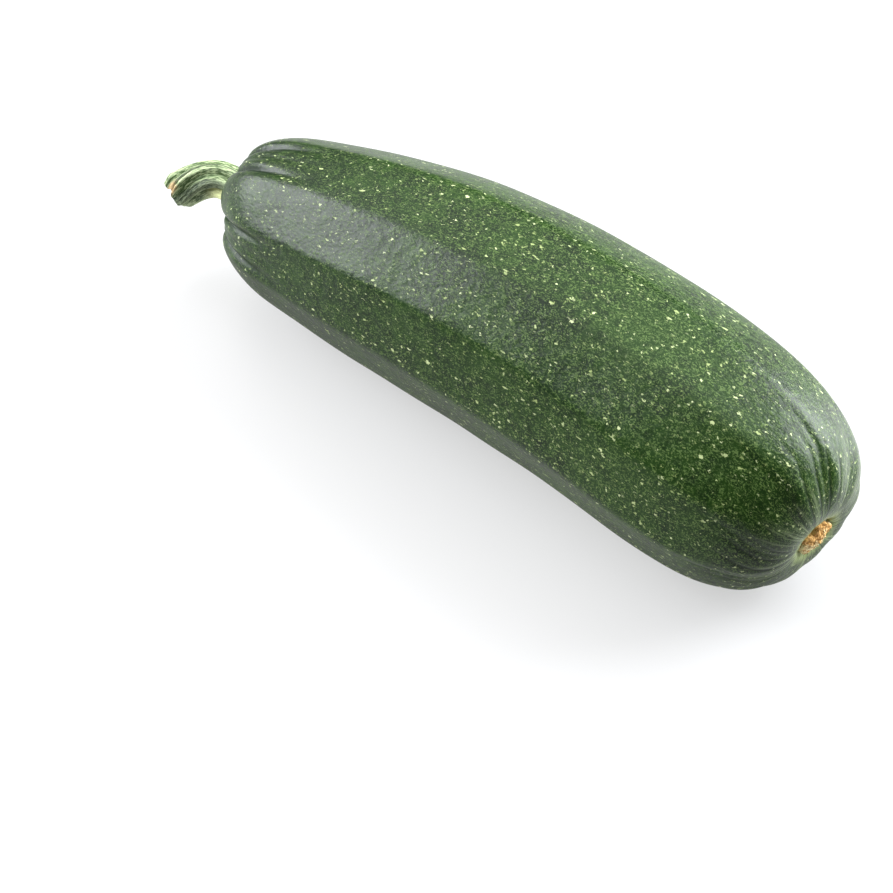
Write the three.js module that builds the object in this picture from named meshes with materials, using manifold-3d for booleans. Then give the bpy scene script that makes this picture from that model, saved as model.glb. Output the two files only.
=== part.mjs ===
import * as THREE from 'three';
import { mergeVertices } from 'three/addons/utils/BufferGeometryUtils.js';
import Module from 'manifold-3d';

// A dark green zucchini, as picked, lying on its belly.
// Lengths are in millimetres, angles in degrees, +Z is up. The fruit runs along X, from its stem (-X)
// to the scar its blossom left (+X), and its slight bend lies flat, bulging towards +Y.

// Fruit, along its length
const fruitLength = 210; // along the middle line
const bend = 17; // total turn of the middle line in plan
const bellyRadius = 34; // the fattest place
const bellyAt = 0.6; // where that is, as a share of the length
const neckRadius = 21; // what the flank tapers to at the stem
const tailRadius = 33; // what the flank tapers to at the blossom end
const neckTaper = 2.5; // how late the neck's taper sets in
const tailTaper = 2;
const stemCap = { length: 24, squareness: 3.3, share: 0.27 }; // rounding of the stem end
const blossomCap = { length: 62, squareness: 3.1, share: 0.37 }; // and of the blossom end

// Fruit, height of its middle line over the table
const bellyHeight = 33.3; // half way along
const tailRise = 6.7; // the blossom half is fatter, so it lies higher
const endDrop = 31.8; // the thinner ends drop towards the table
const neckLift = 3.2; // the neck bends up again
const neckReach = 60; // over this last stretch

// Fruit, round its section
const ribCount = 10;
const firstRib = 112; // angle of a main rib: 0 faces +Y and 90 faces up
const facetDepth = 0.85; // 0 is a round section, 1 is a sharp ten-sided one
const ribRounding = 0.07; // how soft a rib's edge is, in rib spacings
const ribWander = 1.3; // how far a rib strays from a straight course
const bellySkew = 4; // the lowest ribs are turned this far, so that a flat lies level under the fruit

// Shoulder lobes round the stem: a wide one on every second facet and a narrow one between
const lobeReach = 34; // how far along the fruit they run out
const lobeHeight = 2;
const lobeForward = 2.6; // how far they bulge past the stem's root
const wideLobe = 2 / 3; // a wide lobe's half width, in rib spacings
const narrowLobeHeight = 0.45; // against a wide lobe's
const stemDimple = { depth: 3.6, radius: 9.5 };
const shoulderRadius = 14; // where the lobes bulge furthest
const shoulderSlant = 2.6; // the shoulder stands forward on its upper far side
const slantSide = 54;

// Pleats that gather the skin at the blossom scar
const pleatReach = 30;
const pleatDepth = 2;
const pleatSwirl = 0.03; // how far the pleats lean sideways, in ribs per millimetre from the scar
const blossomDimple = { depth: 2.6, radius: 9.5 };

// Stem: a short ribbed stalk that droops, cut square with a notch
const stemSunk = 2.5; // how deep its root sits in the fruit
const stemRoute = [[0, 0, 0], [-11, 3.6, 3.2], [-18.5, 0, 0.8], [-24.3, -8.2, -5.6]]; // from its root
const stemRadius = 5.6;
const rootFlare = 0.9; // the root is this much thicker
const cutFlare = 0.2; // and the cut end this much
const stemRibs = 6;
const stemRibHeight = 0.75;
const stemFirstRib = 67; // angle of a rib at its root: 0 is level on the -Y side and 90 is up
const stemTwist = -75; // turn of its ribs from root to cut
const cutHollow = 0.9; // the pith has shrunk below the rim
const cutRounding = 0.2; // how far the cut end's edge is rounded in
const cutNotch = { depth: 1.5, angle: 58, width: 15 };

// Blossom scar: a small crumbly disc of cork
const scarRadius = 5.2;
const scarSunk = 1.8;
const scarDome = 2.2;
const scarRagged = 0.16; // how uneven its outline is
const scarCrumb = 0.35; // height of its crumbs

const gap = 0.3; // clearance between neighbours
const aroundSteps = 6 * ribCount; // facets of the fruit, round and along
const alongSteps = 62;
const stemSides = 36;
const stemRings = 18;
const scarSides = 30;
const step = 0.5; // short distance used to find a direction
const degree = Math.PI / 180;

const wasm = await Module();
wasm.setup();

const clamp = THREE.MathUtils.clamp;
const fade = THREE.MathUtils.smoothstep;

// A closed geometry with its shared vertices merged, each one moved by a function of its place.
function shape(geometry, move) {
  geometry.deleteAttribute('normal');
  geometry.deleteAttribute('uv');
  const closed = mergeVertices(geometry, 1e-4);
  const places = closed.attributes.position;
  const place = new THREE.Vector3();
  for (let i = 0; i < places.count; i++) {
    place.copy(move(place.fromBufferAttribute(places, i).clone()));
    places.setXYZ(i, place.x, place.y, place.z);
  }
  return closed;
}

function solid(geometry) {
  const vertProperties = geometry.attributes.position.array;
  const triVerts = new Uint32Array(geometry.index.array);
  return new wasm.Manifold(new wasm.Mesh({ numProp: 3, vertProperties, triVerts }));
}

function meshOf(name, made, look) {
  const { vertProperties, triVerts } = made.getMesh();
  const geometry = new THREE.BufferGeometry();
  geometry.setAttribute('position', new THREE.BufferAttribute(vertProperties, 3));
  geometry.setIndex(new THREE.BufferAttribute(triVerts, 1));
  geometry.computeVertexNormals();
  const mesh = new THREE.Mesh(geometry, new THREE.MeshStandardMaterial({ ...look, flatShading: true }));
  mesh.name = name;
  return mesh;
}

// The fruit's middle line, s millimetres from the stem end: an arc in plan, held up by the belly.
function middleLine(s) {
  const u = s / fruitLength - 0.5;
  const arcRadius = fruitLength / (bend * degree);
  const turn = u * bend * degree;
  const neck = clamp(1 - s / neckReach, 0, 1);
  const height = bellyHeight + tailRise * u - endDrop * u * u + neckLift * neck * neck;
  return new THREE.Vector3(arcRadius * Math.sin(turn), arcRadius * (Math.cos(turn) - 1), height);
}

// The three directions at a place on the middle line: along it, level to its +Y side, and upwards.
function directions(s) {
  const along = middleLine(s + step).sub(middleLine(s - step)).normalize();
  const side = new THREE.Vector3(-along.y, along.x, 0).normalize();
  return { along, side, up: along.clone().cross(side) };
}

// A point of a squared-off quarter circle: its distance forward and its distance out, both 0 to 1.
function squareArc(share, squareness) {
  const angle = share * Math.PI / 2;
  const forward = Math.cos(angle);
  const out = Math.sin(angle);
  const size = (forward ** squareness + out ** squareness) ** (-1 / squareness);
  return [forward * size, out * size];
}

// Where a ring of the fruit lies along it, and how full the end's rounding leaves it.
function ringAt(share) {
  const middle = fruitLength - stemCap.length - blossomCap.length;
  if (share < stemCap.share) {
    const [forward, full] = squareArc(share / stemCap.share, stemCap.squareness);
    return { s: stemCap.length * (1 - forward), full };
  }
  if (share > 1 - blossomCap.share) {
    const [forward, full] = squareArc((1 - share) / blossomCap.share, blossomCap.squareness);
    return { s: fruitLength - blossomCap.length * (1 - forward), full };
  }
  const between = (share - stemCap.share) / (1 - stemCap.share - blossomCap.share);
  return { s: stemCap.length + middle * between, full: 1 };
}

function flankRadius(s) {
  const fore = clamp(1 - s / fruitLength / bellyAt, 0, 1) ** neckTaper;
  const aft = clamp((s / fruitLength - bellyAt) / (1 - bellyAt), 0, 1) ** tailTaper;
  return bellyRadius - (bellyRadius - neckRadius) * fore - (bellyRadius - tailRadius) * aft;
}

// A ten-sided section with soft corners, as a share of the mean radius; whole numbers are ribs.
function facet(ribs) {
  const half = Math.PI / ribCount;
  const mean = Math.cos(half) * Math.log(1 / Math.cos(half) + Math.tan(half)) / half;
  const offRib = Math.abs(ribs - Math.round(ribs));
  const soft = Math.hypot(offRib, ribRounding) - Math.hypot(0.5, ribRounding) + 0.5;
  const side = Math.cos(half) / Math.cos(2 * half * (0.5 - soft));
  return 1 + facetDepth * (side - mean);
}

// Height of the shoulder lobes, 0 in the creases between them and 1 on a wide one.
function lobe(ribs) {
  const pair = 2 * Math.floor((ribs - 0.5 + 1) / 2);
  const off = Math.abs(ribs - 0.5 - pair);
  const size = 1 - 0.15 * Math.sin(2.4 * pair);
  if (off < wideLobe) return size * Math.cos(off / wideLobe * Math.PI / 2) ** 0.6;
  return narrowLobeHeight * Math.sin((off - wideLobe) / (1 - wideLobe) * Math.PI / 2) ** 0.6;
}

// Pleats swell about every rib and crease between, and lean over towards the scar.
function pleat(ribs, toBlossom) {
  const leaning = ribs + pleatSwirl * Math.min(toBlossom, 12);
  return Math.abs(Math.cos(Math.PI * leaning)) ** 0.7 - 0.6;
}

function dimple(radius, { depth, radius: reach }) {
  return depth * Math.exp(-((radius / reach) ** 2));
}

// A point of the fruit's skin: share runs from stem to blossom, ribs counts round it from firstRib.
function skinPoint(share, ribs) {
  const { s, full } = ringAt(share);
  const toBlossom = fruitLength - s;
  const wander = ribWander * full * Math.sin(0.6 * Math.PI * ribs + 5 * s / fruitLength);
  const skew = bellySkew * (Math.cos(2 * Math.PI * ribs / ribCount) - 1) / 2;
  const angle = (firstRib + ribs * 360 / ribCount + wander + skew) * degree;
  const plain = flankRadius(s) * full;
  const nearStem = 1 - fade(s, 0, lobeReach);
  const lobes = lobe(ribs) * nearStem;
  const pleats = pleat(ribs, toBlossom) * (1 - fade(toBlossom, 0, pleatReach));
  const relief = lobeHeight * (lobes - nearStem / 2) + pleatDepth * pleats;
  const radius = plain * facet(ribs) + full * relief;
  const onShoulder = Math.exp(-((2 * plain / shoulderRadius - 2) ** 2));
  const slant = shoulderSlant * full * nearStem * Math.cos(angle - slantSide * degree);
  const shift = s < fruitLength / 2
    ? dimple(plain, stemDimple) - lobeForward * lobes * onShoulder - slant
    : -dimple(plain, blossomDimple);
  const { along, side, up } = directions(s);
  return middleLine(s).addScaledVector(along, shift)
    .addScaledVector(side, radius * Math.cos(angle))
    .addScaledVector(up, radius * Math.sin(angle));
}

function fruitBody() {
  const ball = new THREE.SphereGeometry(1, aroundSteps, alongSteps);
  return solid(shape(ball, (p) => {
    const share = Math.acos(clamp(p.y, -1, 1)) / Math.PI;
    const ribs = Math.atan2(-p.z, -p.x) / (2 * Math.PI) * ribCount;
    return skinPoint(share, ribs);
  }));
}

// A turned shape from a profile of radii and heights.
function turned(profile, sides) {
  return new THREE.LatheGeometry(profile.map(([x, y]) => new THREE.Vector2(x, y)), sides);
}

// The stalk, or with room added the socket that it sits in. It starts below the fruit's dimple.
function stemBody(room) {
  const { along } = directions(0);
  const root = middleLine(0);
  const bends = stemRoute.map((place) => new THREE.Vector3(...place).add(root));
  const route = new THREE.CubicBezierCurve3(...bends);
  const inside = stemDimple.depth + stemSunk + room;
  const whole = route.getLength() + inside;
  const wall = Array.from({ length: stemRings + 1 }, (_, i) => [1, i / stemRings]);
  const profile = [[0, 0], [0.6, 0], ...wall, [0.8, 1], [0.5, 1], [0, 1]];
  return solid(shape(turned(profile, stemSides), (p) => {
    const out = Math.hypot(p.x, p.z);
    const turn = Math.atan2(p.x, p.z);
    const buried = Math.max(inside - p.y * whole, 0);
    const onRoute = clamp((p.y * whole - inside) / (whole - inside), 0, 1);
    const tangent = route.getTangent(onRoute);
    const level = new THREE.Vector3(-tangent.y, tangent.x, 0).normalize();
    const over = tangent.clone().cross(level);
    const rib = Math.cos(stemRibs * (turn - (stemFirstRib + stemTwist * p.y) * degree));
    const flare = rootFlare * (1 - fade(p.y, 0, 0.4)) + cutFlare * fade(p.y, 0.7, 1);
    const ribbed = stemRadius + flare + stemRibHeight * (rib - 0.3 * rib * rib);
    const thick = ribbed * (1 - cutRounding * fade(p.y, 0.9, 1) ** 2) + room;
    const offNotch = THREE.MathUtils.euclideanModulo(turn / degree - cutNotch.angle + 180, 360) - 180;
    const notch = cutNotch.depth * Math.exp(-((offNotch / cutNotch.width) ** 2)) * out;
    const hollow = p.y === 1 ? cutHollow * (1 - out ** 4) : 0;
    return route.getPoint(onRoute).addScaledVector(along, buried)
      .addScaledVector(tangent, -fade(p.y, 0.8, 1) * notch - hollow)
      .addScaledVector(level, out * thick * Math.cos(turn))
      .addScaledVector(over, out * thick * Math.sin(turn));
  }));
}

// A round piece on the blossom end's axis, from a profile of radius and height that shrinks or swells
// with the scar's ragged outline.
function onBlossomEnd(profile, heightAt) {
  const { along, side, up } = directions(fruitLength);
  const seat = middleLine(fruitLength).addScaledVector(along, -blossomDimple.depth);
  return solid(shape(turned(profile, scarSides), (p) => {
    const out = Math.hypot(p.x, p.z);
    const turn = Math.atan2(p.x, p.z);
    const radius = out * (1 + scarRagged * (0.6 * Math.sin(5 * turn + 1) + 0.4 * Math.sin(8 * turn)));
    return seat.clone().addScaledVector(along, heightAt(p.y, out, turn))
      .addScaledVector(side, radius * Math.cos(turn))
      .addScaledVector(up, radius * Math.sin(turn));
  }));
}

// The cork disc, with crumbs over its low dome.
function scarBody() {
  const r = scarRadius;
  const profile = [[0, -1], [0.8 * r, -1], [r, -0.4], [r, 0], [0.9 * r, 1], [0.65 * r, 1], [0.35 * r, 1],
    [0, 1]];
  return onBlossomEnd(profile, (level, out, turn) => {
    if (level <= 0) return level * scarSunk;
    const crumb = scarCrumb * Math.sin(7 * turn + 2 * out) * Math.sin(1.2 * out);
    return scarDome * (1 - 0.5 * (out / scarRadius) ** 2) + crumb;
  });
}

// The seat that the disc sits in, open outwards.
function scarSeat() {
  const r = scarRadius + gap / (1 - scarRagged);
  const depth = scarSunk + gap;
  const profile = [[0, -depth], [r, -depth], [r, bellyRadius], [0, bellyRadius]];
  return onBlossomEnd(profile, (level) => level);
}

// The table takes a sliver off the belly, which leaves the small flat spots that the fruit rests on.
function tableBlock() {
  const block = new THREE.BoxGeometry(2 * fruitLength, fruitLength, bellyRadius);
  return solid(shape(block, (p) => p.add(new THREE.Vector3(0, 0, -bellyRadius / 2))));
}

const skin = { color: 0x2c4a22, roughness: 0.42, metalness: 0 };
const stalk = { color: 0x7d9a58, roughness: 0.6, metalness: 0 };
const cork = { color: 0xb98a4e, roughness: 0.9, metalness: 0 };

const fruit = fruitBody()
  .subtract(tableBlock())
  .subtract(stemBody(gap))
  .subtract(scarSeat());

const zucchini = new THREE.Group();
zucchini.add(
  meshOf('fruit', fruit, skin),
  meshOf('stem', stemBody(0), stalk),
  meshOf('blossom_scar', scarBody(), cork),
);

// The origin is under the middle of the whole thing.
const middle = new THREE.Box3().setFromObject(zucchini).getCenter(new THREE.Vector3());
zucchini.position.set(-middle.x, -middle.y, 0);

export default zucchini;
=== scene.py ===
import math

import bmesh
import bpy
from mathutils import Euler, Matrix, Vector, noise


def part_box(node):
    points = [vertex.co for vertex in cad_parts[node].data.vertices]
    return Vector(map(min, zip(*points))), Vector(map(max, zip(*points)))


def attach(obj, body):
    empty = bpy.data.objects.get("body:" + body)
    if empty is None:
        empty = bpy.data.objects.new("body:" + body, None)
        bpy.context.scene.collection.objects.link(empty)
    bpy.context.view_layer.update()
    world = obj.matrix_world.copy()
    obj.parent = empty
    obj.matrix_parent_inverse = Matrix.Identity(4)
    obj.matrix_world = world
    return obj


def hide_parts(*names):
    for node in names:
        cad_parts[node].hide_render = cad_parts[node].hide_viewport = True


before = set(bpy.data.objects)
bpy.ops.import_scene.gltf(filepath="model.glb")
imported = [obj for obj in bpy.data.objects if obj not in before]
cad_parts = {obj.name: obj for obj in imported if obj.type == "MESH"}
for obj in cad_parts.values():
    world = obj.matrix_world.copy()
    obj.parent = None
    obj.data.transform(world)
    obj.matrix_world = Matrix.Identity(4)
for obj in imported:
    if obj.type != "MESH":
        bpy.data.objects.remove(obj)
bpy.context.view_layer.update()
scene = bpy.context.scene
mm = 0.001
degree = math.pi / 180
print("frame loaded:", sorted(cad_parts))


# The camera stands at the angle of the photograph
view = {
    "azimuth": 40.24,
    "elevation": 49.34,
    "lens": 85,
    "sensor": 36,
    "aim": (0, 0, 0.032),
    "right": -0.01251,  # from the aim, along the picture's sides
    "up": -0.03898,
    "distance": 0.60672,
}


def makeCamera(values):
    a = values["azimuth"] * degree
    e = values["elevation"] * degree
    right = Vector((math.cos(a), math.sin(a), 0))
    back = Vector((math.sin(a) * math.cos(e), -math.cos(a) * math.cos(e), math.sin(e)))
    up = back.cross(right)
    camera = bpy.data.objects.new("camera", bpy.data.cameras.new("camera"))
    camera.data.lens = values["lens"]
    camera.data.sensor_width = values["sensor"]
    camera.data.clip_start = 0.01
    camera.data.clip_end = 50
    camera.location = (
        Vector(values["aim"]) + right * values["right"] + up * values["up"] + back * values["distance"]
    )
    camera.rotation_euler = Euler((math.pi / 2 - e, 0, a))
    scene.collection.objects.link(camera)
    scene.camera = camera


makeCamera(view)
print("camera placed")


class Wire:
    # one output socket, so that maths on it reads as an expression
    def __init__(self, look, socket):
        self.look = look
        self.socket = socket

    def maths(self, operation, *others):
        return self.look.maths(operation, self, *others)

    def __add__(self, other):
        return self.look.maths("ADD", self, other)

    def __radd__(self, other):
        return self.look.maths("ADD", other, self)

    def __sub__(self, other):
        return self.look.maths("SUBTRACT", self, other)

    def __rsub__(self, other):
        return self.look.maths("SUBTRACT", other, self)

    def __mul__(self, other):
        return self.look.maths("MULTIPLY", self, other)

    def __rmul__(self, other):
        return self.look.maths("MULTIPLY", other, self)


class Look:
    # a material and its nodes
    def __init__(self, name):
        self.material = bpy.data.materials.new(name)
        self.material.use_nodes = True
        self.nodes = self.material.node_tree.nodes
        self.links = self.material.node_tree.links
        self.nodes.clear()

    def plug(self, value, socket):
        if isinstance(value, Wire):
            self.links.new(value.socket, socket)
        elif isinstance(value, tuple) and len(value) == 3 and socket.type == "RGBA":
            socket.default_value = (*value, 1)
        else:
            socket.default_value = value

    def node(self, kind, settings=None, sockets=None, out=0):
        made = self.nodes.new("ShaderNode" + kind)
        for name, value in (settings or {}).items():
            setattr(made, name, value)
        for name, value in (sockets or {}).items():
            self.plug(value, made.inputs[name])
        return Wire(self, made.outputs[out])

    def maths(self, operation, *values):
        return self.node("Math", {"operation": operation}, dict(enumerate(values)))

    def fade(self, value, low, high):
        settings = {"interpolation_type": "SMOOTHSTEP", "clamp": True}
        return self.node("MapRange", settings, {"Value": value, "From Min": low, "From Max": high})

    def mix(self, share, first, second):
        # the colour sockets of a Mix node are its inputs 6 and 7, and its output 2
        return self.node("Mix", {"data_type": "RGBA"}, {0: share, 6: first, 7: second}, out=2)

    def vector(self, operation, *values, out=0):
        return self.node("VectorMath", {"operation": operation}, dict(enumerate(values)), out)

    def noise(self, place, scale, detail=2.0, rough=0.5, out=0):
        sockets = {"Vector": place, "Scale": scale, "Detail": detail, "Roughness": rough}
        return self.node("TexNoise", None, sockets, out)

    def split(self, vector):
        made = self.node("SeparateXYZ", None, {0: vector})
        outs = made.socket.node.outputs
        return [Wire(self, outs[i]) for i in range(3)]

    def bump(self, height, distance):
        return self.node("Bump", None, {"Height": height, "Distance": distance})

    def finish(self, **sockets):
        shader = self.node("BsdfPrincipled", None, {k.replace("_", " "): v for k, v in sockets.items()})
        output = self.nodes.new("ShaderNodeOutputMaterial")
        self.links.new(shader.socket, output.inputs["Surface"])
        return self.material


def smoothStep(value, low, high):
    t = min(max((value - low) / (high - low), 0), 1)
    return t * t * (3 - 2 * t)


def clamp(value):
    return min(max(value, 0), 1)


def finishPiece(mesh, name, node, material, attributes):
    bmesh.ops.recalc_face_normals(mesh, faces=mesh.faces[:])
    if mesh.calc_volume(signed=True) < 0:  # a dimpled pole can make them all point inwards
        bmesh.ops.reverse_faces(mesh, faces=mesh.faces[:])
    for face in mesh.faces:
        face.smooth = True
    data = bpy.data.meshes.new(name)
    mesh.to_mesh(data)
    mesh.free()
    for label, (kind, values) in attributes.items():
        layer = data.attributes.new(label, kind, "POINT")
        key = "vector" if kind == "FLOAT_VECTOR" else "value"
        layer.data.foreach_set(key, values)
    piece = bpy.data.objects.new(name, data)
    scene.collection.objects.link(piece)
    data.materials.append(material)
    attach(piece, "root")
    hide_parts(node)
    print(name, "made,", len(data.polygons), "faces")


# The fruit's form is the same as the solid's, in millimetres and degrees
fruitForm = {
    "length": 210,
    "bend": 17,
    "bellyRadius": 34,
    "bellyAt": 0.6,
    "neckRadius": 21,
    "tailRadius": 33,
    "neckTaper": 2.5,
    "tailTaper": 2,
    "stemCap": (24, 3.3, 0.27),  # a rounded end: length, squareness, share of the rings
    "blossomCap": (62, 3.1, 0.37),
    "bellyHeight": 33.3,
    "tailRise": 6.7,
    "endDrop": 31.8,
    "neckLift": 3.2,
    "neckReach": 60,
    "ribCount": 10,
    "firstRib": 112,
    "facetDepth": 0.85,
    "ribRounding": 0.07,
    "ribWander": 1.3,
    "wanderRate": (0.6, 5),  # from rib to rib, and along the fruit
    "bellySkew": 4,
    "lobeReach": 34,
    "lobeHeight": 2,
    "lobeForward": 2.6,
    "lobeVariety": (0.15, 2.4),  # how much they differ, and how quickly
    "lobeRoundness": 0.6,
    "wideLobe": 2 / 3,
    "narrowLobeHeight": 0.45,
    "stemDimple": (3.6, 9.5),  # depth, radius
    "shoulderRadius": 14,
    "shoulderSlant": 2.6,
    "slantSide": 54,
    "pleatReach": 30,
    "pleatDepth": 2,
    "pleatRoundness": (0.7, 0.6),  # power, and the height that it takes as level
    "pleatSwirl": (0.03, 12),  # in ribs for a millimetre, and how far it goes on
    "blossomDimple": (2.6, 9.5),
    "around": 300,
    "along": 300,
    # the rest is finer than the solid has it
    "unevenness": 0.22,  # slight swells and dents of the skin
    "swellScale": (1.6, 1 / 22),  # round the fruit and along it
    "swellLevel": 0.6,
    "furrow": (1.2, 0.08),  # between the shoulder lobes: depth, width in ribs
    "furrowReach": (4, 40),
    "faintFurrow": 0.5,  # the one along a narrow lobe
    "wrinkle": (0.7, 0.04),  # fine creases round the blossom scar
    "wrinkleReach": 22,
    "wrinklesToRib": 3,
    "shallowWrinkle": 0.35,  # the least depth, as a share of the greatest
    "moat": (1.1, 5.6, 1.0),  # the groove round the scar: depth, radius, width
    "slowGirth": 0.7,  # how the skin's pattern narrows towards the ends
}
form = fruitForm


def middleLine(s):
    u = s / form["length"] - 0.5
    turned = u * form["bend"] * degree
    arcRadius = form["length"] / (form["bend"] * degree)
    neck = clamp(1 - s / form["neckReach"])
    height = form["bellyHeight"] + form["tailRise"] * u - form["endDrop"] * u * u
    height += form["neckLift"] * neck * neck
    return Vector((arcRadius * math.sin(turned), arcRadius * (math.cos(turned) - 1), height))


def directions(s):
    # along the fruit, to its side and up
    along = (middleLine(s + 0.5) - middleLine(s - 0.5)).normalized()
    side = Vector((-along.y, along.x, 0)).normalized()
    return along, side, along.cross(side)


def squareArc(share, squareness):
    # a quarter of a rounded square
    forward = math.cos(share * math.pi / 2)
    out = math.sin(share * math.pi / 2)
    size = (abs(forward) ** squareness + out ** squareness) ** (-1 / squareness)
    return forward * size, out * size


def ringAt(share):
    # a ring's distance from the stem's end, and its part of the full radius
    capLength, capSquare, capShare = form["stemCap"]
    tipLength, tipSquare, tipShare = form["blossomCap"]
    if share < capShare:
        forward, full = squareArc(share / capShare, capSquare)
        return capLength * (1 - forward), full
    if share > 1 - tipShare:
        forward, full = squareArc((1 - share) / tipShare, tipSquare)
        return form["length"] - tipLength * (1 - forward), full
    between = (share - capShare) / (1 - capShare - tipShare)
    return capLength + (form["length"] - capLength - tipLength) * between, 1


def flankRadius(s):
    t = s / form["length"]
    fore = clamp(1 - t / form["bellyAt"]) ** form["neckTaper"]
    aft = clamp((t - form["bellyAt"]) / (1 - form["bellyAt"])) ** form["tailTaper"]
    belly = form["bellyRadius"]
    return belly - (belly - form["neckRadius"]) * fore - (belly - form["tailRadius"]) * aft


def facet(ribs):
    half = math.pi / form["ribCount"]
    mean = math.cos(half) * math.log(1 / math.cos(half) + math.tan(half)) / half
    soft = math.hypot(ribs - round(ribs), form["ribRounding"]) - math.hypot(0.5, form["ribRounding"]) + 0.5
    side = math.cos(half) / math.cos(2 * half * (0.5 - soft))
    return 1 + form["facetDepth"] * (side - mean)


def lobe(ribs):
    wide = form["wideLobe"]
    pair = 2 * math.floor((ribs + 0.5) / 2)
    off = abs(ribs - 0.5 - pair)
    variety, rate = form["lobeVariety"]
    roundness = form["lobeRoundness"]
    if off < wide:
        return (1 - variety * math.sin(rate * pair)) * math.cos(off / wide * math.pi / 2) ** roundness
    return form["narrowLobeHeight"] * math.sin((off - wide) / (1 - wide) * math.pi / 2) ** roundness


def leaning(ribs, toBlossom):
    swirl, reach = form["pleatSwirl"]
    return ribs + swirl * min(toBlossom, reach)


def pleat(ribs, toBlossom):
    power, level = form["pleatRoundness"]
    return abs(math.cos(math.pi * leaning(ribs, toBlossom))) ** power - level


def furrow(ribs):
    # the creases between a wide and a narrow lobe, and a faint one along a narrow lobe
    wide, width = form["wideLobe"], form["furrow"][1]
    off = abs(ribs - 0.5 - 2 * math.floor((ribs + 0.5) / 2))
    faint = form["faintFurrow"] * math.exp(-(((off - 1) / width) ** 2))
    return math.exp(-(((off - wide) / width) ** 2)) + faint


def wrinkle(ribs, toBlossom):
    # a few creases to a rib, each of its own depth
    count, least = form["wrinklesToRib"], form["shallowWrinkle"]
    place = leaning(ribs, toBlossom) * count
    nearest = round(place)
    depth = least + (1 - least) * abs(math.sin(nearest * 2.7 + 1))
    return depth * math.exp(-((((place - nearest) / count) / form["wrinkle"][1]) ** 2))


def dimple(radius, values):
    return values[0] * math.exp(-((radius / values[1]) ** 2))


class Ring:
    # all that a ring of the fruit's skin shares
    def __init__(self, share):
        self.s, self.full = ringAt(share)
        self.plain = flankRadius(self.s) * self.full
        self.toBlossom = form["length"] - self.s
        self.nearStem = 1 - smoothStep(self.s, 0, form["lobeReach"])
        self.nearBlossom = 1 - smoothStep(self.toBlossom, 0, form["pleatReach"])
        self.inFurrow = 1 - smoothStep(self.s, *form["furrowReach"])
        self.inWrinkle = 1 - smoothStep(self.toBlossom, 0, form["wrinkleReach"])
        self.onShoulder = math.exp(-((2 * self.plain / form["shoulderRadius"] - 2) ** 2))
        self.middle = middleLine(self.s)
        self.along, self.side, self.up = directions(self.s)
        if self.s < form["length"] / 2:
            self.dimple = dimple(self.plain, form["stemDimple"])
        else:
            depth, radius, width = form["moat"]
            self.dimple = -dimple(self.plain, form["blossomDimple"])
            self.dimple -= depth * math.exp(-(((self.plain - radius) / width) ** 2))


def skinPoint(ring, ribs):
    # a point of the skin, its angle round the fruit and how deep in a crease it lies
    s, full = ring.s, ring.full
    ribRate, alongRate = form["wanderRate"]
    wander = form["ribWander"] * full * math.sin(ribRate * math.pi * ribs + alongRate * s / form["length"])
    skew = form["bellySkew"] * (math.cos(2 * math.pi * ribs / form["ribCount"]) - 1) / 2
    angle = (form["firstRib"] + ribs * 360 / form["ribCount"] + wander + skew) * degree
    lobes = lobe(ribs) * ring.nearStem
    pleats = pleat(ribs, ring.toBlossom) * ring.nearBlossom
    relief = form["lobeHeight"] * (lobes - ring.nearStem / 2) + form["pleatDepth"] * pleats
    across, down = form["swellScale"]
    swell = noise.noise(Vector((math.cos(angle) * across, math.sin(angle) * across, s * down)))
    relief += form["unevenness"] * (swell - form["swellLevel"])
    furrows = furrow(ribs) * ring.inFurrow
    wrinkles = wrinkle(ribs, ring.toBlossom) * ring.inWrinkle
    relief -= form["furrow"][0] * furrows + form["wrinkle"][0] * wrinkles
    radius = ring.plain * facet(ribs) + full * relief
    shift = ring.dimple
    if s < form["length"] / 2:
        slant = form["shoulderSlant"] * full * ring.nearStem * math.cos(angle - form["slantSide"] * degree)
        shift -= form["lobeForward"] * lobes * ring.onShoulder + slant
    point = ring.middle + ring.along * shift
    point += ring.side * (radius * math.cos(angle)) + ring.up * (radius * math.sin(angle))
    return point, angle, furrows + wrinkles


def fruitMesh():
    mesh = bmesh.new()
    bmesh.ops.create_uvsphere(mesh, u_segments=form["around"], v_segments=form["along"], radius=1)
    rings, places, turns, creases = {}, [], [], []
    for vertex in mesh.verts:
        share = math.acos(max(-1, min(1, vertex.co.z))) / math.pi
        key = round(share * form["along"])
        if key not in rings:
            rings[key] = Ring(share)
        ring = rings[key]
        ribs = math.atan2(-vertex.co.y, vertex.co.x) / (2 * math.pi) * form["ribCount"]
        vertex.co, angle, crease = skinPoint(ring, ribs)
        # the skin unrolled: distance over it from the stem, and a girth that shrinks slowly at the ends
        girth = form["bellyRadius"] * (ring.plain / form["bellyRadius"]) ** form["slowGirth"]
        over = surfaceRun(share)
        places += [over, girth * math.cos(angle), girth * math.sin(angle)]
        turns += [math.cos(angle), math.sin(angle), ring.s]
        creases.append(crease)
    return mesh, places, turns, creases


def runTable(steps=600):
    # distance over the skin from the stem's middle, at even shares of the rings
    total, table, last = 0, [0], None
    for i in range(steps + 1):
        s, full = ringAt(i / steps)
        here = (s, flankRadius(s) * full)
        if last:
            total += math.hypot(here[0] - last[0], here[1] - last[1])
            table.append(total)
        last = here
    return table


runs = runTable()


def surfaceRun(share):
    place = share * (len(runs) - 1)
    low = min(int(place), len(runs) - 2)
    return runs[low] + (runs[low + 1] - runs[low]) * (place - low)


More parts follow.
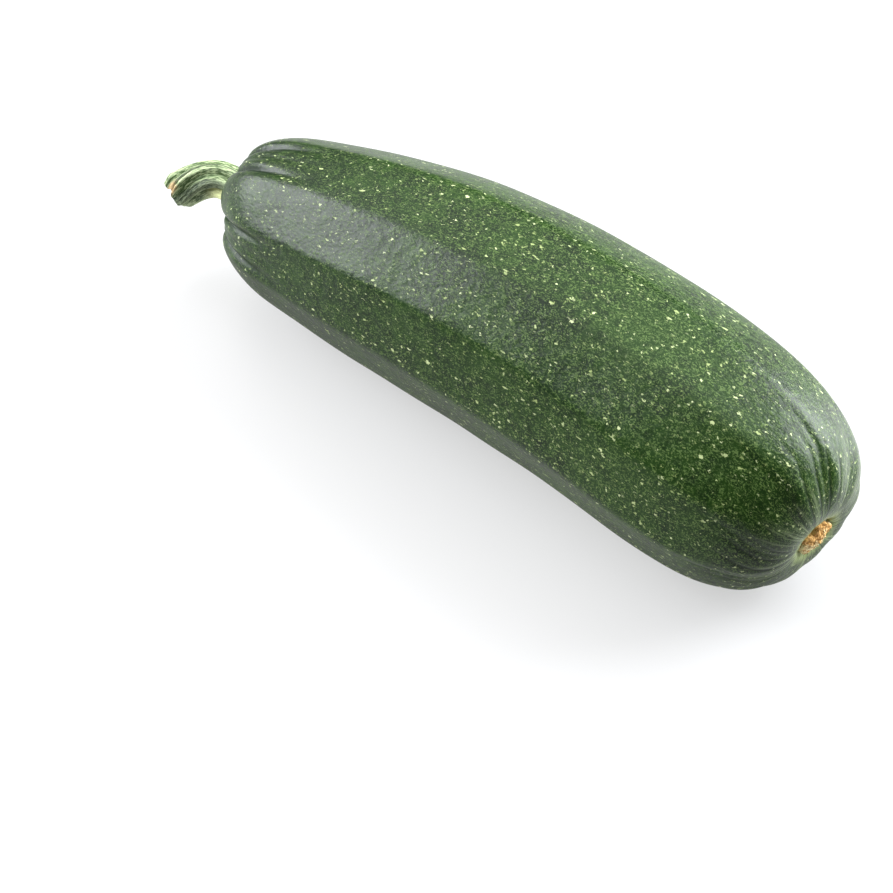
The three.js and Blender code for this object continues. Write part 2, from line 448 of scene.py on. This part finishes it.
skinLook = {
    "deep": (0.002, 0.012, 0.001),
    "fresh": (0.009, 0.032, 0.002),
    "fleckAndGlint": (0.086, 0.142, 0.038),  # pale strokes of the grain, partly painted glints of light on its bumps
    "rayAndHighlight": (0.24, 0.30, 0.15),  # pale lines that run to the scar, partly painted highlights on the pleats' edges
    "scarRim": (0.30, 0.38, 0.14),
    "root": (0.30, 0.36, 0.12),  # the rim round the stem
    "speckle": (0.42, 0.52, 0.19),
    "paleSpeckle": (0.62, 0.69, 0.38),
    "broadScale": 0.05,  # of the clouds in its colour, to a millimetre
    "patchScale": 0.3,
    "cloudFade": (0.44, 0.68),
    "ripening": (20, 170),  # darker towards the stem, between these distances over the skin
    "grainSize": 0.85,  # millimetres
    "grainHeight": 0.00011,  # metres
    "grainDrawn": (0.65, 1, 1),
    "strokeFade": (0.51, 0.56),
    "wearScale": 0.5,
    "wearFade": (0.35, 0.6),
    "swellScale": 0.25,
    "swellHeight": 0.0002,
    # where the painted shade in the creases fades in
    "creaseShadeFade": (0.15, 0.8),
    "streakScale": (13, 13, 0.06),  # round the fruit and along it
    "streakFade": (0.5, 0.66),
    "streakReach": (9, 30),  # distances over the skin from the scar's middle
    "scarRimReach": (8.2, 12),
    "rootReach": (8.2, 10.2),
    "roughness": 0.34,
    "dullBelly": 0.16,  # the shaded side is duller
    "bellyFade": (0.012, 0.042),  # metres above the table
    "raggedness": (1.5, 1.6),  # of the speckles: its scale, and how far it moves their edge
    "crowdScale": 0.09,
    "crowdFade": (0.22, 0.55),
    "crowding": (0.65, 0.4),  # at the stem, and what ripeness adds
    "speckleEdge": 0.045,
    # cell size, share of cells, smallest radius in cells, what is added to it, length, seed
    "dust": (1.2, 1.0, 0.11, 0.14, 1.5, 3.1),
    "small": (1.6, 1.0, 0.11, 0.12, 1.5, 11.7),
    "middling": (2.4, 0.9, 0.09, 0.11, 1.5, 27.3),
    "long": (3.1, 0.7, 0.06, 0.07, 2.8, 41.9),
}


def speckles(look, place, ripe, values, kind):
    # small ragged spots, in a share of the cells of a pattern, each of its own size
    size, share, least, spread, stretch, seed = values[kind]
    shifted = look.vector("ADD", place, (seed, seed * 2, seed * 3))
    squeezed = look.vector("MULTIPLY", shifted, (1 / stretch, 1, 1))
    scale, reach = values["raggedness"]
    wobble = look.noise(squeezed, scale, 2, 0.6, out=1)
    wobble = look.vector("MULTIPLY", look.vector("SUBTRACT", wobble, (0.5, 0.5, 0.5)), (reach,) * 3)
    moved = look.vector("ADD", squeezed, wobble)
    cell = look.node("TexVoronoi", {"feature": "F1"}, {"Vector": moved, "Scale": 1 / size})
    chance, extent, tint = look.split(Wire(look, cell.socket.node.outputs["Color"]))
    atStem, withRipeness = values["crowding"]
    crowd = look.fade(look.noise(place, values["crowdScale"], 2), *values["crowdFade"])
    filled = crowd * (ripe * withRipeness + atStem) * share
    here = look.maths("GREATER_THAN", chance, 1 - filled)
    edge = extent * spread + least
    return look.fade(edge - cell, 0, values["speckleEdge"]) * here, tint


def skinMaterial(values):
    look = Look("zucchini_skin")
    place = look.node("Attribute", {"attribute_name": "skinPlace"}, out=1)
    size = values["grainSize"]

    broad = look.noise(place, values["broadScale"], 3)
    patches = look.noise(place, values["patchScale"], 3, 0.6)
    run = look.split(place)[0]
    ripe = look.fade(run, *values["ripening"])
    tone = look.fade(broad * 0.5 + patches * 0.5 + ripe * 0.08, *values["cloudFade"])
    base = look.mix(tone, values["deep"], values["fresh"])

    # pebbled grain of pale strokes, partly painted glints on the skin's bumps, drawn out along the fruit
    drawn = look.vector("MULTIPLY", place, values["grainDrawn"])
    fine = look.noise(drawn, 1.3 / size, 3, 0.62)
    finer = look.noise(drawn, 2.6 / size, 2, 0.5)
    strokes = look.fade(fine * 0.5 + finer * 0.5, *values["strokeFade"])
    worn = look.fade(look.noise(place, values["wearScale"], 2), *values["wearFade"])
    crease = look.node("Attribute", {"attribute_name": "crease"}, out=2)
    # painted shade in the creases: it thins the pale strokes there and darkens the skin to its deepest
    # green below
    creaseShade = look.fade(crease, *values["creaseShadeFade"])
    light = (0.35 + worn * 0.5) * (0.68 + ripe * 0.32) * (1 - creaseShade * 0.8)
    base = look.mix(strokes * light, base, values["fleckAndGlint"])

    dust, dustTint = speckles(look, place, ripe, values, "dust")
    small, smallTint = speckles(look, place, ripe, values, "small")
    middling, tint = speckles(look, place, ripe, values, "middling")
    long, longTint = speckles(look, place, ripe, values, "long")
    spotColour = look.mix(tint, values["speckle"], values["paleSpeckle"])
    base = look.mix(dust * (0.1 + dustTint * 0.35), base, values["speckle"])
    base = look.mix(small * (0.2 + smallTint * 0.55), base, spotColour)
    base = look.mix(middling * (0.55 + tint * 0.4), base, spotColour)
    base = look.mix(long * (0.45 + longTint * 0.45), base, spotColour)

    # pale streaks, partly painted highlights on the pleats' edges, that gather at the blossom scar, and
    # paler skin round it and round the stem
    turn = look.node("Attribute", {"attribute_name": "skinTurn"}, out=1)
    toScar = runs[-1] - run
    nearScar = 1 - look.fade(toScar, *values["streakReach"])
    rays = look.noise(look.vector("MULTIPLY", turn, values["streakScale"]), 1, 3, 0.7)
    base = look.mix(look.fade(rays, *values["streakFade"]) * nearScar * 0.75, base, values["rayAndHighlight"])
    atScar = 1 - look.fade(toScar + fine * 3, *values["scarRimReach"])
    base = look.mix(atScar * 0.8, base, values["scarRim"])
    atRoot = 1 - look.fade(run + fine * 2, *values["rootReach"])
    base = look.mix(atRoot * 0.85, base, values["root"])
    # painted shade: the creases darkened
    base = look.mix(creaseShade * 0.65, base, values["deep"])

    pebble = look.node(
        "TexVoronoi", {"feature": "SMOOTH_F1"}, {"Vector": drawn, "Scale": 0.8 / size, "Smoothness": 0.4}
    )
    swell = look.noise(place, values["swellScale"], 2)
    relief = (fine * 0.7 + (1 - pebble) * 0.5) * values["grainHeight"] + swell * values["swellHeight"]
    height = look.split(look.node("TexCoord", out=3))[2]
    belly = 1 - look.fade(height, *values["bellyFade"])
    rough = values["roughness"] + strokes * 0.1 + belly * values["dullBelly"]
    # in metres, so the bump's own distance is 1
    return look.finish(Base_Color=base, Roughness=rough, Normal=look.bump(relief, 1), IOR=1.31)


mesh, places, turns, creases = fruitMesh()
# it is laid where its solid is, with the blossom ends and the middles of the sides together
nodeLow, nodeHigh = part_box("fruit")
farEnd = max(v.co.x for v in mesh.verts)
sides = [v.co.y for v in mesh.verts]
middle = (min(sides) + max(sides)) / 2
shift = Vector((nodeHigh.x / mm - farEnd, (nodeLow.y + nodeHigh.y) / 2 / mm - middle, 0))
for vertex in mesh.verts:
    vertex.co = (vertex.co + shift) * mm
    vertex.co.z = max(vertex.co.z, 0)
finishPiece(
    mesh,
    "zucchini_fruit",
    "fruit",
    skinMaterial(skinLook),
    {
        "skinPlace": ("FLOAT_VECTOR", places),
        "skinTurn": ("FLOAT_VECTOR", turns),
        "crease": ("FLOAT", creases),
    },
)


stemForm = {
    "sunk": 2.5,
    "route": [(0, 0, 0), (-11, 3.6, 3.2), (-18.5, 0, 0.8), (-24.3, -8.2, -5.6)],
    "radius": 5.6,
    "rootFlare": (0.9, 0.4),  # and the share of the length where it ends
    "cutFlare": (0.2, 0.7),  # and the share of the length where it starts, as in the next ones
    "rim": (0.2, 0.9),  # how far the cut end's edge is rounded in
    "notch": (1.5, 0.8),
    "notchAngle": 58,
    "notchWidth": 15,
    "hollow": 0.9,
    "ribs": 6,
    "ribHeight": 0.75,
    "ribSharpness": 0.3,
    "firstRib": 67,
    "twist": -75,
    "striation": 0.45,  # fine ridges along it
    "striationScale": (7, 2),  # round it and along it
    "around": 200,
    "along": 170,
    "rootShare": 0.04,  # of the rings, for the buried end
    "cutShare": 0.18,
    "cutWidth": 3,  # of the cut face in the pattern, as if it went on along the stem
}


def onCurve(points, t):
    # a cubic curve's place and direction
    a, b, c, d = [Vector(p) for p in points]
    u = 1 - t
    place = a * u ** 3 + b * (3 * u * u * t) + c * (3 * u * t * t) + d * t ** 3
    heading = (b - a) * (3 * u * u) + (c - b) * (6 * u * t) + (d - c) * (3 * t * t)
    return place, heading.normalized()


def curveLengths(points, steps=200):
    lengths, last = [0], Vector(points[0])
    for i in range(1, steps + 1):
        here = onCurve(points, i / steps)[0]
        lengths.append(lengths[-1] + (here - last).length)
        last = here
    return lengths


def stemMesh(values):
    mesh = bmesh.new()
    bmesh.ops.create_uvsphere(mesh, u_segments=values["around"], v_segments=values["along"], radius=1)
    root = middleLine(0)
    along = directions(0)[0]
    inside = form["stemDimple"][0] + values["sunk"]
    lengths = curveLengths(values["route"])
    steps = len(lengths) - 1
    whole = lengths[-1] + inside
    rootShare, cutShare = values["rootShare"], values["cutShare"]
    rootFlare, rootFlareEnd = values["rootFlare"]
    cutFlare, cutFlareStart = values["cutFlare"]
    rim, rimStart = values["rim"]
    notchDepth, notchStart = values["notch"]
    fineRound, fineAlong = values["striationScale"]
    places, ribsAt = [], []
    for vertex in mesh.verts:
        share = math.acos(max(-1, min(1, vertex.co.z))) / math.pi
        turn = math.atan2(-vertex.co.y, vertex.co.x)
        # h runs from the buried end to the cut, out from the middle to the bark
        if share < rootShare:
            h, out = 0, share / rootShare
        elif share < 1 - cutShare:
            h, out = (share - rootShare) / (1 - rootShare - cutShare), 1
        else:
            h, out = 1, (1 - share) / cutShare
        buried = max(inside - h * whole, 0)
        run = max(h * whole - inside, 0)
        k = 0
        while k < steps - 1 and lengths[k + 1] < run:
            k += 1
        t = clamp((k + (run - lengths[k]) / (lengths[k + 1] - lengths[k])) / steps)
        place, tangent = onCurve(values["route"], t)
        level = Vector((-tangent.y, tangent.x, 0)).normalized()
        over = tangent.cross(level)
        twisted = turn - values["twist"] * degree * h
        rib = math.cos(values["ribs"] * (twisted - values["firstRib"] * degree))
        thick = values["radius"] + rootFlare * (1 - smoothStep(h, 0, rootFlareEnd))
        thick += cutFlare * smoothStep(h, cutFlareStart, 1)
        thick += values["ribHeight"] * (rib - values["ribSharpness"] * rib * rib)
        across, up = math.cos(twisted), math.sin(twisted)
        fine = noise.noise(Vector((across * fineRound, up * fineRound, h * fineAlong)))
        thick += values["striation"] * (fine - 0.5)
        thick *= 1 - rim * smoothStep(h, rimStart, 1) ** 2
        offNotch = (turn / degree - values["notchAngle"] + 180) % 360 - 180
        notch = notchDepth * math.exp(-((offNotch / values["notchWidth"]) ** 2)) * out
        hollow = values["hollow"] * (1 - out ** 4) if h == 1 else 0
        point = root + place + along * buried - tangent * (smoothStep(h, notchStart, 1) * notch + hollow)
        point += level * (out * thick * math.cos(turn)) + over * (out * thick * math.sin(turn))
        vertex.co = (point + shift) * mm
        places += [run if h < 1 else whole + values["cutWidth"] * (1 - out), across, up]
        ribsAt.append(rib)
    return mesh, places, ribsAt


stemLook = {
    "ridge": (0.47, 0.57, 0.31),
    "flank": (0.060, 0.110, 0.030),
    "groove": (0.007, 0.022, 0.003),
    "base": (0.62, 0.65, 0.31),
    "cut": (0.46, 0.29, 0.13),
    "streakScale": (0.12, 5, 5),  # along the stem and round it
    "fibreScale": (0.5, 22, 22),
    "toneFade": (0.45, 0.57),
    "patchFade": (0.34, 0.5),
    # angle at the root and at the cut, half width, and with its soft edge
    "darkBands": ((52, 84, 10, 19), (22, 54, 2, 7), (128, 134, 1, 5)),
    "length": 31,  # of the stem outside the fruit
    "cutFade": (30.5, 31.5),  # distances along the stem
    "dryEdge": (135, 14, 28),  # angle, half width, and with its soft edge
    "dryFade": (29, 32.5),
    "paleBase": (6, 30, 42),
    "baseReach": (13, 23),
    "roughness": 0.5,
    "grainHeight": 0.0006,  # metres
}


def bandAt(look, across, up, angle, inner, outer):
    # 1 near an angle round a piece, fading out to its sides
    turned = angle * degree
    if isinstance(angle, Wire):
        nearness = across * turned.maths("COSINE") + up * turned.maths("SINE")
    else:
        nearness = across * math.cos(turned) + up * math.sin(turned)
    return look.fade(nearness, math.cos(outer * degree), math.cos(inner * degree))


def stemMaterial(values):
    look = Look("zucchini_stem")
    place = look.node("Attribute", {"attribute_name": "stemPlace"}, out=1)
    rib = look.node("Attribute", {"attribute_name": "stemRib"}, out=2)
    run, across, up = look.split(place)
    streaks = look.noise(look.vector("MULTIPLY", place, values["streakScale"]), 1, 4, 0.65)
    fibres = look.noise(look.vector("MULTIPLY", place, values["fibreScale"]), 1, 3, 0.6)
    tone = look.fade(streaks * 0.35 + fibres * 0.65 + rib * 0.035, *values["toneFade"])
    patchy = look.fade(streaks * 0.5 + fibres * 0.5, *values["patchFade"])
    base = look.mix(tone, values["flank"], values["ridge"])
    for atRoot, atCut, inner, outer in values["darkBands"]:
        angle = run * ((atCut - atRoot) / values["length"]) + atRoot
        band = bandAt(look, across, up, angle, inner, outer)
        base = look.mix(band * (0.97 - patchy * 0.25), base, values["groove"])
    pale = bandAt(look, across, up, *values["paleBase"])
    pale = pale * (1 - look.fade(run + streaks * 6, *values["baseReach"]))
    base = look.mix(pale * 0.92, base, values["base"])
    dry = bandAt(look, across, up, *values["dryEdge"]) * look.fade(run + fibres * 9, *values["dryFade"])
    base = look.mix(dry * 0.8, base, values["cut"])
    base = look.mix(look.fade(run, *values["cutFade"]), base, values["cut"])
    normal = look.bump(streaks * 0.4 + fibres * 0.6, values["grainHeight"])
    return look.finish(Base_Color=base, Roughness=values["roughness"], Normal=normal, IOR=1.42)


mesh, stemPlaces, stemRibs = stemMesh(stemForm)
finishPiece(
    mesh,
    "zucchini_stem",
    "stem",
    stemMaterial(stemLook),
    {"stemPlace": ("FLOAT_VECTOR", stemPlaces), "stemRib": ("FLOAT", stemRibs)},
)


scarForm = {
    "radius": 5.2,
    "sunk": 1.8,
    "dome": 2.2,
    "domeFall": 0.5,  # the share of it that is lost by the edge
    "edge": 0.3,  # where it is rounded off
    "ragged": 0.16,
    "raggedFine": 0.05,
    "crumb": 0.9,
    "crumbScales": ((0.7, 1.1), (0.5, 2.6)),  # share and scale of the coarse and of the fine ones
    "around": 120,
    "along": 90,
}


def scarMesh(values):
    mesh = bmesh.new()
    bmesh.ops.create_uvsphere(mesh, u_segments=values["around"], v_segments=values["along"], radius=1)
    along, side, up = directions(form["length"])
    seat = middleLine(form["length"]) - along * form["blossomDimple"][0]
    for vertex in mesh.verts:
        turn = math.atan2(-vertex.co.y, vertex.co.x)
        flat = math.hypot(vertex.co.x, vertex.co.y)
        out = flat * values["radius"]
        ragged = 1 + values["ragged"] * (0.6 * math.sin(5 * turn + 1) + 0.4 * math.sin(8 * turn))
        here = Vector((out * math.cos(turn), out * math.sin(turn), 3))
        if vertex.co.z > 0:
            level = -values["sunk"] * vertex.co.z ** 0.5
        else:
            inward = smoothStep(-vertex.co.z, 0, values["edge"])
            crumb = sum(share * noise.noise(here * scale) for share, scale in values["crumbScales"])
            level = values["dome"] * (1 - values["domeFall"] * flat * flat) * inward
            level += values["crumb"] * crumb * inward
        ragged += values["raggedFine"] * noise.noise(here * 2)
        point = seat + along * level
        point += side * (out * ragged * math.cos(turn)) + up * (out * ragged * math.sin(turn))
        vertex.co = (point + shift) * mm
    return mesh


scarLook = {
    "cork": (0.72, 0.42, 0.14),
    "dark": (0.34, 0.16, 0.04),
    "cream": (0.95, 0.82, 0.47),
    "crumbScale": 950,  # to a metre
    "lumpScale": 260,
    "corkFade": (0.36, 0.5),
    "creamBelow": 0.030,  # metres above the table: more cream on its lower side
    "creamRise": 45,
    "creamFade": (0.42, 0.6),
    "creamCrumbs": (0.40, 0.54),
    "roughness": 0.9,
    "crumbHeight": 0.0009,  # metres
}


def scarMaterial(values):
    look = Look("zucchini_scar")
    place = look.node("TexCoord", out=3)
    crumbs = look.noise(place, values["crumbScale"], 3, 0.7)
    lumps = look.noise(place, values["lumpScale"], 2, 0.5)
    base = look.mix(look.fade(crumbs, *values["corkFade"]), values["dark"], values["cork"])
    below = values["creamBelow"] - look.split(place)[2]
    creamy = look.fade(lumps + below * values["creamRise"], *values["creamFade"])
    base = look.mix(creamy * look.fade(crumbs, *values["creamCrumbs"]), base, values["cream"])
    normal = look.bump(crumbs, values["crumbHeight"])
    return look.finish(Base_Color=base, Roughness=values["roughness"], Normal=normal, IOR=1.35)


finishPiece(scarMesh(scarForm), "zucchini_scar", "blossom_scar", scarMaterial(scarLook), {})


studio = {
    "floor": (0.22, 0.22, 0.22),
    "farFloor": (0.12, 0.12, 0.12),
    "floorSize": 20,
    "floorReach": (0.32, 0.6),  # metres from the middle over which it darkens
    "floorGlow": 0.54,  # it shines a little, as a light table does
    "floorRoughness": 0.4,
    "dimSky": 0.1,
    "brightSky": 2.5,
    "skyTowards": (-0.45, 0.1, 0.89),
    "skyFade": (0.62, 0.92),
    "softboxTint": (0.97, 0.995, 1.04),
    "left": {"azimuth": 203, "elevation": 26, "distance": 1.5, "size": (1.09, 0.69), "power": 39},
    "back": {"azimuth": 65, "elevation": 29, "distance": 1.5, "size": (1.1, 1.35), "power": 75},
    "spot": {"above": (0.16, 0.12), "height": 0.6, "power": 130, "cone": 16, "softness": 0.02},
}


def makeFloor(values):
    mesh = bmesh.new()
    bmesh.ops.create_grid(mesh, x_segments=8, y_segments=8, size=values["floorSize"])
    data = bpy.data.meshes.new("floor")
    mesh.to_mesh(data)
    mesh.free()
    floor = bpy.data.objects.new("floor", data)
    scene.collection.objects.link(floor)
    look = Look("floor_white")
    away = look.vector("LENGTH", look.node("TexCoord", out=3), out=1)
    far = look.fade(away, *values["floorReach"])
    base = look.mix(far, values["floor"], values["farFloor"])
    glow = look.mix(far, (1, 1, 1), (0, 0, 0))
    material = look.finish(
        Base_Color=base,
        Roughness=values["floorRoughness"],
        Emission_Color=glow,
        Emission_Strength=values["floorGlow"],
    )
    data.materials.append(material)


def makeLight(name, values):
    a = values["azimuth"] * degree
    e = values["elevation"] * degree
    out = Vector((math.cos(a) * math.cos(e), math.sin(a) * math.cos(e), math.sin(e)))
    data = bpy.data.lights.new(name, "AREA")
    data.shape = "RECTANGLE"
    data.size, data.size_y = values["size"]
    data.energy = values["power"]
    data.color = studio["softboxTint"]
    light = bpy.data.objects.new(name, data)
    light.location = out * values["distance"]
    light.rotation_euler = out.to_track_quat("Z", "Y").to_euler()
    light.visible_camera = False
    scene.collection.objects.link(light)


def makeSpot(name, values):
    # lights the floor beyond the blossom end, which that end mirrors
    data = bpy.data.lights.new(name, "SPOT")
    data.energy = values["power"]
    data.spot_size = values["cone"] * degree
    data.spot_blend = 1
    data.shadow_soft_size = values["softness"]
    light = bpy.data.objects.new(name, data)
    light.location = (*values["above"], values["height"])
    scene.collection.objects.link(light)


def makeWorld(values):
    # a pale room, brighter on one side
    world = bpy.data.worlds.new("studio")
    world.use_nodes = True
    nodes, links = world.node_tree.nodes, world.node_tree.links
    where = nodes.new("ShaderNodeTexCoord")
    towards = nodes.new("ShaderNodeVectorMath")
    towards.operation = "DOT_PRODUCT"
    towards.inputs[1].default_value = values["skyTowards"]
    bright = nodes.new("ShaderNodeMapRange")
    bright.interpolation_type = "SMOOTHSTEP"
    bright.inputs["From Min"].default_value, bright.inputs["From Max"].default_value = values["skyFade"]
    bright.inputs["To Min"].default_value = values["dimSky"]
    bright.inputs["To Max"].default_value = values["brightSky"]
    links.new(where.outputs["Generated"], towards.inputs[0])
    links.new(towards.outputs["Value"], bright.inputs["Value"])
    background = nodes["Background"]
    background.inputs["Color"].default_value = (1, 1, 1, 1)
    links.new(bright.outputs["Result"], background.inputs["Strength"])
    scene.world = world
    scene.view_settings.view_transform = "Standard"


makeFloor(studio)
makeLight("left_softbox", studio["left"])
makeLight("back_softbox", studio["back"])
makeSpot("floor_spot", studio["spot"])
makeWorld(studio)
print("studio lit")
